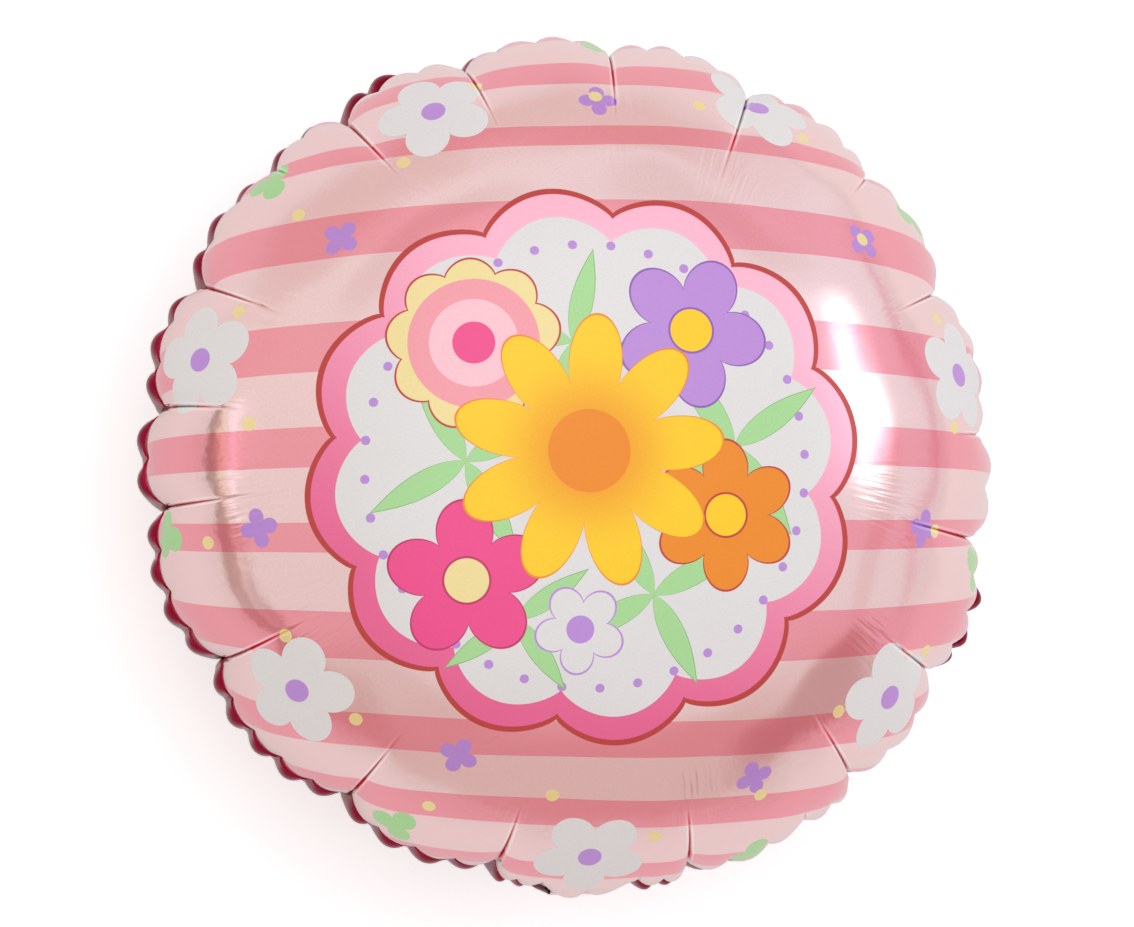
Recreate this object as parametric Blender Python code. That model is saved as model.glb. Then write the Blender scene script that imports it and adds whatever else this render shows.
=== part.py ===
"""Inflated round foil balloon, lying on its back.

Two flat discs of metallised film are sealed to each other round the edge and blown up. The sheets
can't stretch, so the round of the balloon shrinks, and the spare film gathers in pleats at the seam.
Each film is the solid half of the sealed envelope that it bounds. The origin is the middle of the
flat spot that the balloon lies on, +Z is up through the middle of the print and +Y is its top.
Lengths are in metres, and angles in degrees.
"""

import math

import bmesh
import bpy
import numpy as np
from mathutils import Matrix, Vector

# The film as it is cut
FLAT_RADIUS = 0.2285

# The inflated form
SHRINK = 0.7627
PUFF_HEIGHT = 0.0086
PUFF_REACH = 0.096
SEAM_GAP = 0.0003
SEAM_WAVE = 0.0016
# The seam's waves: how many go round, each one's share of the height, and where it starts
SEAM_LOBES = ((9, 0.6, 40.0), (23, 0.4, 120.0))
# How far the plan is from a true circle: lobes round it, each one's share of the radius, and its start
PLAN_LOBES = ((2, 0.0055, 68.0), (3, 0.0100, 170.0))
GROOVE_DEPTH = 0.0030
GROOVE_WIDTH = 0.0070
REST_SPOT_RADIUS = 0.026

# Each pleat's place round the seam, how far it runs in along the film, and how deep it is
PLEATS = (
    (3.5, 0.026, 0.0050),
    (24.5, 0.080, 0.0085),
    (43.5, 0.034, 0.0070),
    (63.5, 0.100, 0.0085),
    (84.3, 0.080, 0.0070),
    (105.3, 0.078, 0.0080),
    (123.7, 0.078, 0.0085),
    (136.0, 0.028, 0.0055),
    (154.5, 0.072, 0.0090),
    (172.5, 0.066, 0.0080),
    (186.0, 0.070, 0.0080),
    (208.5, 0.076, 0.0095),
    (235.0, 0.072, 0.0090),
    (258.0, 0.066, 0.0075),
    (271.0, 0.036, 0.0050),
    (285.0, 0.068, 0.0070),
    (302.0, 0.026, 0.0055),
    (311.3, 0.078, 0.0080),
    (329.8, 0.080, 0.0075),
    (349.5, 0.092, 0.0070),
)

# The small scallops between the pleats
SCALLOP_PITCH = 5.6
SCALLOP_REACH = 0.013
SCALLOP_DEPTH = 0.0030

# The inflation tail, which leaves the seam, folds over and hangs down behind it
TAIL_AZIMUTH = 270.0
TAIL_WIDTH = 0.030
TAIL_LENGTH = 0.058
TAIL_THICKNESS = 0.0012
TAIL_CORNER = 0.006
TAIL_LEAN = 10.0
TAIL_FOLD = 0.0028
TAIL_CLEARANCE = 0.0010
TAIL_ROOT = 0.012

# How fine the facets are
SPOKES_PER_SCALLOP = 3
RING_SHARES = (0.27, 0.39, 0.49, 0.58, 0.665, 0.74, 0.81, 0.875, 0.93, 0.97, 1.0)
PROFILE_STEPS = 4000
FOLD_STEPS = 4
CORNER_STEPS = 4
# At how many angles across the tail's width the film behind it is looked at
TAIL_LOOKS = 9
SHARP_ANGLE = 50.0
MERGE_DISTANCE = 0.00001


def clear_scene():
    for obj in list(bpy.data.objects):
        bpy.data.objects.remove(obj)


def collection_named(name):
    made = bpy.data.collections.new(name)
    bpy.context.scene.collection.children.link(made)
    return made


def foil(name, colour, roughness, metallic):
    made = bpy.data.materials.new(name)
    made.use_nodes = True
    shader = made.node_tree.nodes["Principled BSDF"]
    shader.inputs["Base Color"].default_value = (*colour, 1.0)
    shader.inputs["Roughness"].default_value = roughness
    shader.inputs["Metallic"].default_value = metallic
    return made


def film_profile():
    """Share of the way to the seam, radius, and height over the seam, of an ideal inflated disc.

    Where the film slopes by psi, its radius is the seam's times the root of sin(psi).
    """
    slope = np.linspace(0.0, 1.0, PROFILE_STEPS) ** 2 * math.pi / 2
    root_of_sine = np.sqrt(np.sin(slope))
    middle = np.sqrt(np.sin((slope[1:] + slope[:-1]) / 2))
    half_step = np.diff(slope) / 2
    along = np.concatenate([[0.0], np.cumsum(half_step / middle)])
    drop = np.concatenate([[0.0], np.cumsum(half_step * middle)])
    seam_radius = SHRINK * FLAT_RADIUS
    return along / along[-1], seam_radius * root_of_sine, seam_radius * (drop[-1] - drop)


SHARE, RADIUS, HEIGHT = film_profile()
SEAM_RADIUS = float(RADIUS[-1])
SEAM_HEIGHT = float(np.interp(REST_SPOT_RADIUS, RADIUS, HEIGHT))
RINGS = (0.0, float(np.interp(REST_SPOT_RADIUS, RADIUS, SHARE)), *RING_SHARES)


def eased(value):
    """A smooth step from 0 to 1."""
    held = min(1.0, max(0.0, value))
    return held * held * (3 - 2 * held)


def pinches_of_scallops():
    """The pinches that bound the scallops: one at each pleat, and even ones between the pleats."""
    found = []
    for index, (start, _, _) in enumerate(PLEATS):
        span = (PLEATS[(index + 1) % len(PLEATS)][0] - start) % 360.0
        count = max(2, round(span / SCALLOP_PITCH))
        for step in range(count):
            found.append((start + span * step / count, SCALLOP_REACH, SCALLOP_DEPTH))
    return found


PINCHES = pinches_of_scallops()


def drawn_in(angle, from_seam, pinches):
    """How far the film is drawn in by the pinches on either side of an angle."""
    after = next((i for i, pinch in enumerate(pinches) if pinch[0] > angle % 360.0), 0)
    left, right = pinches[after - 1], pinches[after]
    along = ((angle - left[0]) % 360.0) / ((right[0] - left[0]) % 360.0)
    total = 0.0
    for away, (_, reach, depth) in ((2 * along, left), (2 - 2 * along, right)):
        total += depth * eased(1 - from_seam / reach) * max(0.0, 1 - away) ** 2
    return total


def out_of_round(angle):
    """How much wider than a circle the plan is, as a share of its radius."""
    return sum(share * math.cos(math.radians(count * angle + start)) for count, share, start in PLAN_LOBES)


def seam_wave(angle):
    """How far the seam wanders up and down on its way round."""
    return SEAM_WAVE * sum(
        share * math.sin(math.radians(count * angle + start)) for count, share, start in SEAM_LOBES
    )


def inflated(angle, share, side):
    """Where a point of the film goes: side is 1 on the front film and -1 on the back film."""
    from_seam = (1 - share) * FLAT_RADIUS
    radius = float(np.interp(share, SHARE, RADIUS))
    outward = (radius / SEAM_RADIUS) ** 2
    puff = PUFF_HEIGHT * eased(1 - from_seam / PUFF_REACH)
    puff -= drawn_in(angle, from_seam, PLEATS) + drawn_in(angle, from_seam, PINCHES)
    puff -= GROOVE_DEPTH * math.exp(-from_seam / GROOVE_WIDTH)
    over_seam = float(np.interp(share, SHARE, HEIGHT)) + puff * math.sqrt(1 - outward**2)
    wave = seam_wave(angle) * eased(1 - from_seam / PUFF_REACH)
    turn = math.radians(angle)
    plan = (radius + puff * outward) * (1 + out_of_round(angle) * outward)
    up = SEAM_HEIGHT + wave + side * (over_seam + SEAM_GAP / 2)
    return Vector((plan * math.cos(turn), plan * math.sin(turn), max(0.0, up)))


def spoke_angle(spoke):
    """The angle of a spoke: each scallop has the same number of them, and one is on its pinch."""
    scallop, step = divmod(spoke, SPOKES_PER_SCALLOP)
    start = PINCHES[scallop][0]
    span = (PINCHES[(scallop + 1) % len(PINCHES)][0] - start) % 360.0
    return start + span * step / SPOKES_PER_SCALLOP


def film_half(name, side, material, collection):
    """Half the envelope: a disc spun from one radius, blown up, and closed across the seam."""
    spokes = len(PINCHES) * SPOKES_PER_SCALLOP
    mesh = bmesh.new()
    radius = [mesh.verts.new((share, 0.0, 0.0)) for share in RINGS]
    line = radius + [mesh.edges.new(pair) for pair in zip(radius, radius[1:])]
    bmesh.ops.spin(
        mesh, geom=line, cent=(0, 0, 0), axis=(0, 0, 1), angle=2 * math.pi, steps=spokes, use_merge=True
    )
    bmesh.ops.remove_doubles(mesh, verts=mesh.verts, dist=MERGE_DISTANCE)
    rim = [edge for edge in mesh.edges if edge.is_boundary]
    for vert in mesh.verts:
        share = vert.co.length
        spoke = round(math.atan2(vert.co.y, vert.co.x) % (2 * math.pi) / (2 * math.pi) * spokes)
        vert.co = inflated(spoke_angle(spoke % spokes), min(1.0, share), side)
    lid = bmesh.ops.contextual_create(mesh, geom=rim)["faces"]
    hub = bmesh.ops.poke(mesh, faces=lid)["verts"][0]
    hub.co = (0.0, 0.0, SEAM_HEIGHT + side * SEAM_GAP / 2)
    bmesh.ops.recalc_face_normals(mesh, faces=mesh.faces)
    data = bpy.data.meshes.new(name)
    mesh.to_mesh(data)
    mesh.free()
    data.shade_smooth()
    data.set_sharp_from_angle(angle=math.radians(SHARP_ANGLE))
    data.materials.append(material)
    obj = bpy.data.objects.new(name, data)
    collection.objects.link(obj)
    return obj


def tail_outline():
    """The tail seen from its edge, as points out from the seam and up from it.

    It comes out of the seam just under the front film, turns down over its fold, and runs straight
    down, leaning in under the balloon and just clear of the back film all the way.
    """
    spread = math.degrees(TAIL_WIDTH / 2 / SEAM_RADIUS)
    lean = math.radians(TAIL_LEAN)
    fold_up = -SEAM_WAVE - SEAM_GAP - TAIL_CLEARANCE - TAIL_FOLD - TAIL_THICKNESS / 2
    behind = [
        inflated(angle, share, -1)
        for angle in np.linspace(TAIL_AZIMUTH - spread, TAIL_AZIMUTH + spread, TAIL_LOOKS)
        for share in RINGS
    ]
    furthest = max(
        point.xy.length - (point.z - SEAM_HEIGHT - fold_up) * math.tan(lean) for point in behind
    )
    straight_out = furthest - SEAM_RADIUS + (TAIL_CLEARANCE + TAIL_THICKNESS / 2) / math.cos(lean)
    fold_out = straight_out - TAIL_FOLD / math.cos(lean)
    sides = []
    for bend in (TAIL_FOLD + TAIL_THICKNESS / 2, TAIL_FOLD - TAIL_THICKNESS / 2):
        side = [(fold_out - TAIL_ROOT, fold_up + bend)]
        for step in range(FOLD_STEPS + 1):
            turn = math.pi / 2 - (math.pi / 2 + lean) * step / FOLD_STEPS
            side.append((fold_out + bend * math.cos(turn), fold_up + bend * math.sin(turn)))
        out, up = side[-1]
        side.append((out - TAIL_LENGTH * math.sin(lean), up - TAIL_LENGTH * math.cos(lean)))
        sides.append(side)
    return [*sides[0], *reversed(sides[1])]


def tail_guide(collection):
    """The tail's outline as a flat curve, drawn out to the tail's width where it leaves the seam."""
    curve = bpy.data.curves.new("tail", "CURVE")
    curve.dimensions = "2D"
    curve.fill_mode = "BOTH"
    curve.extrude = TAIL_WIDTH / 2
    outline = tail_outline()
    spline = curve.splines.new("POLY")
    spline.points.add(len(outline) - 1)
    for point, (out, up) in zip(spline.points, outline):
        point.co = (out, up, 0.0, 1.0)
    spline.use_cyclic_u = True
    guide = bpy.data.objects.new("tail_outline", curve)
    collection.objects.link(guide)
    turned = Matrix.Rotation(math.radians(TAIL_AZIMUTH), 4, "Z")
    at_seam = Matrix.Translation((SEAM_RADIUS, 0.0, SEAM_HEIGHT))
    guide.matrix_world = turned @ at_seam @ Matrix.Rotation(math.radians(90.0), 4, "X")
    bpy.context.view_layer.update()
    return guide


def tail(material, collection):
    """The inflation tail as a closed mesh, with the two corners of its free end rounded."""
    guide = tail_guide(collection)
    data = bpy.data.meshes.new_from_object(guide.evaluated_get(bpy.context.evaluated_depsgraph_get()))
    mesh = bmesh.new()
    mesh.from_mesh(data)
    bmesh.ops.remove_doubles(mesh, verts=mesh.verts, dist=MERGE_DISTANCE)
    foot = set(sorted(mesh.verts, key=lambda vert: vert.co.y)[:4])
    corners = [
        edge
        for edge in mesh.edges
        if foot.issuperset(edge.verts) and edge.calc_length() < 2 * TAIL_THICKNESS
    ]
    bmesh.ops.bevel(
        mesh,
        geom=corners,
        offset=TAIL_CORNER,
        segments=CORNER_STEPS,
        profile=0.5,
        affect="EDGES",
        material=-1,
    )
    bmesh.ops.recalc_face_normals(mesh, faces=mesh.faces)
    mesh.to_mesh(data)
    mesh.free()
    data.materials.append(material)
    made = bpy.data.objects.new("tail_to_join", data)
    made.matrix_world = guide.matrix_world
    bpy.data.objects.remove(guide)
    made.hide_render = True
    made.display_type = "WIRE"
    collection.objects.link(made)
    return made


def join(obj, other):
    union = obj.modifiers.new("join_" + other.name, "BOOLEAN")
    union.operation = "UNION"
    union.solver = "EXACT"
    union.object = other


def main():
    clear_scene()
    balloon = collection_named("foil_balloon")
    helpers = collection_named("shapes_to_join")
    printed = foil("printed_film", (0.82, 0.52, 0.55), 0.25, 0.35)
    plain = foil("dark_pink_film", (0.42, 0.03, 0.10), 0.18, 0.90)
    film_half("front_film", 1, printed, balloon)
    back = film_half("back_film", -1, plain, balloon)
    join(back, tail(plain, helpers))


main()
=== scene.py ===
"""Looks of an inflated round foil balloon that lies on its back in a pale studio.

The printed front film, the plain back film, the sealed edge between them and the inflation tail are
each a piece. The films follow the same form as the solids that they replace: two flat discs that
can't stretch, drawn in where they gather. Every film carries the place of each point on the flat
disc in its UV map, in metres, and the print is worked out from that. Lengths are in metres and
angles in degrees.
"""

import math

import bmesh
import bpy
import numpy as np
from mathutils import Matrix, Vector


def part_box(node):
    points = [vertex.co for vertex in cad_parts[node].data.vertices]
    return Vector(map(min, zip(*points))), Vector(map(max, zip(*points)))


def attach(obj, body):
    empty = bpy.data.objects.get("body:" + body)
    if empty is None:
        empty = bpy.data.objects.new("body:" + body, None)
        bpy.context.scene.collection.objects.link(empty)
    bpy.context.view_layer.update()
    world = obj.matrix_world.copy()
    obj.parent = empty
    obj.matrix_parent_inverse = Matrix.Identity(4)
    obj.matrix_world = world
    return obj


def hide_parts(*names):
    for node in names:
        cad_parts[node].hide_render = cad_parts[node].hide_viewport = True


bl_info = {
    "name": "Foil Balloon",
    "version": (1, 0, 0),
    "blender": (4, 5, 0),
    "location": "3D View > Sidebar > Foil Balloon",
    "description": "Models a round foil balloon with a printed front and a plain back, and its studio",
    "category": "Add Mesh",
}

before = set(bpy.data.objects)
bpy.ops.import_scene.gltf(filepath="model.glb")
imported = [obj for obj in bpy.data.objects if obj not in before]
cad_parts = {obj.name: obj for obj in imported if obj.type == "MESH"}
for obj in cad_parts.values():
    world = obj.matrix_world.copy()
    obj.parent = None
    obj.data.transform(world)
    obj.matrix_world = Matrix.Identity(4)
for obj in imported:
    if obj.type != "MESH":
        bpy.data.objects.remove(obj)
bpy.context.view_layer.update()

# The film as it is cut, and how much narrower it is when it is blown up
FLAT_RADIUS = 0.2285
SHRINK = 0.7627
PROFILE_STEPS = 4000
# How far the film between the pleats puffs out, and how far in from the seam
PUFF_HEIGHT = 0.0086
PUFF_REACH = 0.096
# The groove round the seam, and the gap between the films in it
GROOVE_DEPTH = 0.0030
GROOVE_WIDTH = 0.0070
SEAM_GAP = 0.0003
# How the seam wanders up and down, and how the plan strays from a circle: each wave's count, its
# share of the height or of the radius, and its start
SEAM_WAVE = 0.0016
SEAM_LOBES = ((9, 0.6, 40.0), (23, 0.4, 120.0))
PLAN_LOBES = ((2, 0.0055, 68.0), (3, 0.0100, 170.0))
# The flat spot that the balloon lies on
REST_SPOT_RADIUS = 0.026

# Each pleat's place round the seam, how far it runs in along the film, how deep it is, and how far
# round its inner end has moved
PLEATS = np.array((
    (3.5, 0.058, 0.0058, -1.0),
    (24.5, 0.080, 0.0085, 0.5),
    (43.5, 0.059, 0.0072, 2.0),
    (63.5, 0.100, 0.0085, 4.0),
    (84.3, 0.080, 0.0070, 4.2),
    (105.3, 0.078, 0.0080, 3.4),
    (123.7, 0.078, 0.0085, 4.4),
    (136.0, 0.036, 0.0055, 2.0),
    (154.5, 0.072, 0.0090, 3.9),
    (172.5, 0.066, 0.0080, 1.0),
    (186.0, 0.070, 0.0080, 1.4),
    (208.5, 0.076, 0.0095, 1.2),
    (235.0, 0.072, 0.0090, -2.1),
    (258.0, 0.066, 0.0075, -2.4),
    (264.2, 0.022, 0.0035, -0.5),
    (277.4, 0.028, 0.0050, -1.0),
    (285.0, 0.068, 0.0070, -2.8),
    (302.0, 0.036, 0.0055, -2.0),
    (311.3, 0.078, 0.0080, -4.2),
    (329.8, 0.080, 0.0075, -5.0),
    (349.5, 0.092, 0.0070, -4.2),
))
# The small scallops between the pleats: their pitch in degrees, and the reach and depth of the pinches
# between them, on the loose side and on the tight one
SCALLOP_PITCH = 5.6
SCALLOP_REACH = 0.020
SCALLOP_DEPTH = 0.0028
SCALLOP_REACH_RIGHT = 0.034
SCALLOP_DEPTH_RIGHT = 0.0042
# How far from the seam the lobes between the scallops' pinches swell most, how much of the back's
# swell is left on the tight side and of the front's on the loose one, and how full each lobe is
SWELL_REACH = 0.0065
BACK_SWELL_RIGHT = 0.45
FRONT_SWELL_LEFT = 0.25
SWELL_FULLNESS = 0.7
BACK_PINCH = 0.3
# On which side the back film is looser than the front, and how far the films are tucked in there
LOOSE_SIDE = 195.0
SEAM_TUCK = 0.0020
# Where the back film stands out further: azimuth, half the width in degrees, and height
BACK_BUMPS = ((117.0, 3.6, 0.0040), (342.3, 2.9, 0.0080), (335.4, 3.8, 0.0086), (281.0, 2.6, 0.0016))
# Where the front film does, over the tail's root and at the lower right
FRONT_BUMPS = ((269.7, 5.0, 0.0046), (338.0, 8.0, 0.0012))

# Where the groove of a fold ends, as a share of its pleat's reach, and how much it is drawn out
GROOVE_END = 1.15
GROOVE_STRETCH = 1.05
# Where the painted shade line in a fold ends, as a share of its pleat's reach, and how sharply
SHADE_LINE_END = 1.08
SHADE_LINE_SHARPNESS = 3.0
# How far beside a fold its lip and its painted gleam lie, in widths of the groove and of the painted shade
# line
LIP_AWAY = 3.0
LIP_SPREAD = 1.732
PAINTED_GLEAM_AWAY = 2.8

# Only pleats longer than this gather the film at their inner ends: how far in as a share of the reach,
# how wide the gathers are along and round the film, and how strong they are from pleat to pleat
GATHERED_REACH = 0.060
GATHER_PLACE = 1.04
GATHER_ALONG = 0.017
GATHER_ROUND = 0.013
GATHER_STRENGTH = 0.55
GATHER_VARIETY = 0.45
# The film also gathers at a lone place: azimuth, way in from the seam, both widths and strength
LONE_GATHERS = ((355.5, 0.055, 0.010, 0.008, 1.0),)

# Broad waves in the films: length, heading, share of the height, and start
BILLOWS = (
    (0.062, 25.0, 0.35, 0.0),
    (0.048, 80.0, 0.30, 2.1),
    (0.081, 140.0, 0.55, 4.0),
    (0.037, 110.0, 0.16, 1.1),
    (0.029, 5.0, 0.10, 5.2),
)
# How far from the film's middle and from the seam the waves reach their full height
BILLOW_MIDDLE = 0.12
BILLOW_EDGE = 0.012

# The sealed edge: how many times further in than out it reaches, and the crimps of its sealing
EDGE_TUCKED = 2.5
CRIMP_HEIGHT = 0.00012
CRIMP_COUNT = 480

# The inflation tail, which leaves the seam, folds over and hangs down behind it
TAIL_WIDTH = 0.030
TAIL_LENGTH = 0.058
TAIL_LEAN = 10.0
TAIL_FOLD = 0.0028
TAIL_ROOT = 0.012
TAIL_RISE = 0.0016
TAIL_SOLID = 0.0012
TAIL_CORNER = 0.006
TAIL_FILM = 0.0003
TAIL_NECK = 0.0045
TAIL_NECK_REACH = 0.016
TAIL_STEPS = 8
TAIL_STRIPS = 24
# How far the tail's films stand apart, over what share of the width, and how they ripple
TAIL_PILLOW = 0.0005
TAIL_PILLOW_WIDTH = 0.8
TAIL_RIPPLE = 0.0006
TAIL_RIPPLES_ACROSS = 1.3
TAIL_RIPPLE_TWIST = 90.0
# How much of its corner's circle the tail's foot follows, so that it doesn't close to a point
TAIL_FOOT = 0.98
# How squarely a face of the edge looks down, or one of the tail looks in, to have the back's colour
FACING_DOWN = 0.5
FACING_IN = 0.3

# How fine the films' meshes are
SPOKES_BY_PLEAT = 18
SPOKES_BETWEEN = 12
SECTORS = 12
FINER_AT_PLEAT = 1.5
RING_STEPS = ((0.0, 0.104, 13), (0.104, 0.200, 36), (0.200, FLAT_RADIUS, 29))
SHARP_ANGLE = 55.0
MERGE_DISTANCE = 0.00002

# The photograph's frame, and how far beside the balloon's middle the camera looks
PICTURE_WIDTH = 1134
PIXELS_PER_METRE = 2345.0
SENSOR_WIDTH = 36.0
CAMERA_AIM = -0.0017

# The mid pink stripes, as the lower and upper edge of each on the flat film
STRIPES = (
    (-0.2750, -0.2620),
    (-0.2400, -0.2250),
    (-0.2010, -0.1875),
    (-0.1650, -0.1515),
    (-0.1310, -0.1135),
    (-0.0890, -0.0680),
    (-0.0435, -0.0300),
    (-0.0075, 0.0075),
    (0.0315, 0.0520),
    (0.0800, 0.1010),
    (0.1285, 0.1395),
    (0.1635, 0.1780),
    (0.2010, 0.2150),
)
STRIPE_MARGIN = 0.02

# Half the softness of the print's edges, and the width of the fine outlines
EDGE_BLUR = 0.00014
FINE_LINE = 0.0009
# How rounded petals and pointed leaves are, and how unevenly shapes stray from their ring
PETAL_ROUNDNESS = 0.8
LEAF_ROUNDNESS = 0.85
STRAY_STEP = 2.4
# The size of the centres of flowers and of ring shapes, as shares of their radius
FLOWER_CENTRE = 0.30
RING_CENTRE = 0.21
RING_CENTRE_BLUR = 0.01
# Where a flower's deeper colour starts and is full, as shares of its radius, and how strong it is
DEEP_START = 0.75
DEEP_FULL = 0.15
DEEP_SHARE = 0.75

# Rings of equal shapes over the stripes: how many, the ring's radius, how far they stray from it and
# its turn; each shape's radius, petals, waist and turn; its ink, its centre's ink, and how much of
# the metal it hides
RING_PRINTS = (
    (7, 0.176, 0.007, 12.0, 0.0260, 5, 0.62, 0.0, "white", "lavender", 1.0),
    (7, 0.150, 0.006, 38.0, 0.0085, 4, 0.45, 0.0, "lavender", None, 0.6),
    (7, 0.202, 0.005, 36.0, 0.0120, 3, 0.40, 40.0, "mint", None, 0.4),
    (21, 0.164, 0.014, 4.0, 0.0030, 1, 1.00, 0.0, "cream", None, 0.5),
)
# The ring of beads inside the medallion's band, in the same columns
BEADS = (36, 0.0905, 0.0, 3.0, 0.0019, 1, 1.0, 0.0, "lavender", None, 1.0)

# The medallion's scallops, and how much of the metal its outline and band hide
MEDALLION_SCALLOPS = 12
MEDALLION_WAIST = 0.90
MEDALLION_TURN = 8.0
OUTLINE_COVER = 0.9
BAND_COVER = 0.7
# The medallion's band pales upwards, and half as much to the right, between these heights
BAND_SLANT = 0.5
BAND_DEEP = -0.100
BAND_PALE = 0.110
# Its leaves: middle, length and turn
LEAVES = (
    ((-0.050, 0.002), 0.044, 118.0),
    ((0.060, 0.008), 0.044, 34.0),
    ((0.026, -0.052), 0.042, -62.0),
    ((-0.006, 0.050), 0.040, 76.0),
    ((-0.030, -0.062), 0.036, 215.0),
)
LEAF_POINTS = 4
LEAF_WAIST = 0.02
# Its flowers, from the lowest up: middle, radius, petals, waist and turn; the inks of its petals,
# outline and centre, and of the petals' depth; and its round spots with their inks
FLOWERS = (
    ((-0.050, -0.046), 0.033, 5, 0.55, 20.0, "hot_pink", "deep_hot_pink", "cream", None, ()),
    ((0.043, 0.055), 0.032, 5, 0.55, -10.0, "lavender", "deep_lavender", "yellow", None, ()),
    (
        (-0.046, 0.050), 0.036, 9, 0.84, 12.0, "cream", "dark_red", None, None,
        ((0.74, "mid_pink"), (0.50, "pale_pink"), (0.24, "hot_pink")),
    ),
    ((0.056, -0.020), 0.031, 6, 0.60, 30.0, "orange", "dark_red", "yellow", None, ()),
    ((-0.004, -0.066), 0.019, 5, 0.60, 48.0, "white", "lavender", "lavender", None, ()),
    ((0.000, 0.006), 0.056, 9, 0.52, 5.0, "yellow", "orange", "orange", "orange", ()),
)

# How fine the film's crinkles are, which run in from the seam between two distances from the middle
SEAM_CRINKLE = 26.0
SEAM_CRINKLE_STRETCH = 5.0
SEAM_CRINKLE_START = 0.090
SEAM_CRINKLE_FULL = 0.185
BROAD_CRINKLE = 55.0
BROAD_CRINKLE_SHARE = 0.5
GATHER_WRINKLES = 62.0
GATHER_WRINKLE_STRETCH = 0.8
FILM_GRAIN = 2600.0

# How the print's colour varies in fine specks, and how much painted shade darkens it in the folds
SPECKS = 900.0
SPECK_CONTRAST = 0.12
FOLD_SHADE_STRENGTH = 2.6
# How metallic and rough the bare printed film is, and what opaque ink adds to each
BARE_METALLIC = 0.80
INK_METALLIC = -0.75
BARE_ROUGHNESS = 0.15
INK_ROUGHNESS = 0.26
BACK_ROUGHNESS = 0.13

# The studio's lamps: name, the setting that holds the power, place, width and height, and colour
LAMPS = (
    ("key_light", "key_power", (-0.10, 0.90, 2.60), (1.80, 1.40), (1.00, 1.00, 1.00)),
    ("fill_light", "fill_power", (-0.40, -0.50, 2.80), (1.60, 1.60), (1.00, 1.00, 1.00)),
    ("glow_light", "glow_power", (1.50, 0.42, 1.10), (0.72, 0.80), (0.90, 0.96, 1.06)),
    ("halo_light", "halo_power", (1.44, 0.38, 0.97), (0.38, 0.66), (0.97, 0.98, 1.00)),
    ("strip_light", "strip_power", (1.42, 0.38, 0.95), (0.20, 0.56), (1.00, 1.00, 1.00)),
)
# The sky's colours at the left, at the right and towards the foot of the print
SKY_LEFT = (0.99, 0.95, 0.93)
SKY_RIGHT = (0.99, 0.985, 1.06)
SKY_FOOT = (0.86, 0.81, 0.80)
# Arcs of the sky that the film mirrors: the middle and half the width of each round the horizon, how
# high it starts and ends as a share of straight up, its softness and its colour
SKY_ARCS = (
    (178.0, 15.0, 0.045, 0.105, 0.012, (0.16, 0.10, 0.08)),
    (179.0, 15.0, 0.105, 0.170, 0.014, (0.50, 0.30, 0.24)),
    (180.0, 13.0, 0.180, 0.215, 0.014, (1.20, 1.06, 0.80)),
    (179.0, 10.0, 0.285, 0.320, 0.016, (1.55, 1.45, 1.65)),
    (204.0, 13.0, 0.045, 0.090, 0.014, (0.42, 0.18, 0.15)),
    (206.0, 13.0, 0.130, 0.180, 0.014, (0.42, 0.18, 0.15)),
    (208.0, 12.0, 0.240, 0.280, 0.016, (0.52, 0.30, 0.27)),
    (236.0, 14.0, 0.140, 0.340, 0.040, (0.52, 0.26, 0.22)),
    (275.0, 40.0, 0.120, 0.500, 0.140, (0.76, 0.60, 0.57)),
    (318.0, 13.0, 0.120, 0.300, 0.050, (0.56, 0.30, 0.30)),
    (350.0, 12.0, 0.300, 0.420, 0.050, (0.86, 0.72, 0.74)),
    (10.0, 22.0, 0.020, 0.070, 0.020, (0.80, 0.42, 0.50)),
    (100.0, 40.0, 0.020, 0.300, 0.100, (0.86, 0.70, 0.68)),
    (118.0, 20.0, 0.550, 0.660, 0.060, (0.88, 0.78, 0.78)),
    (60.0, 16.0, 0.460, 0.600, 0.080, (0.88, 0.80, 0.82)),
)
# Shares of an arc's half width at which it starts and is full
ARC_START = 1.5
ARC_FULL = 0.7
# The paper's half width, and how much lighter it looks to the camera than its light would make it
PAPER_HALF = 6.0
PAPER_GLOW = 0.40


def display(red, green, blue):
    """A display colour of 0 to 255 as a linear one, by the curve that displays follow."""
    shares = (red / 255, green / 255, blue / 255)
    return tuple(
        share / 12.92 if share < 0.04045 else ((share + 0.055) / 1.055) ** 2.4 for share in shares
    )


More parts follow.
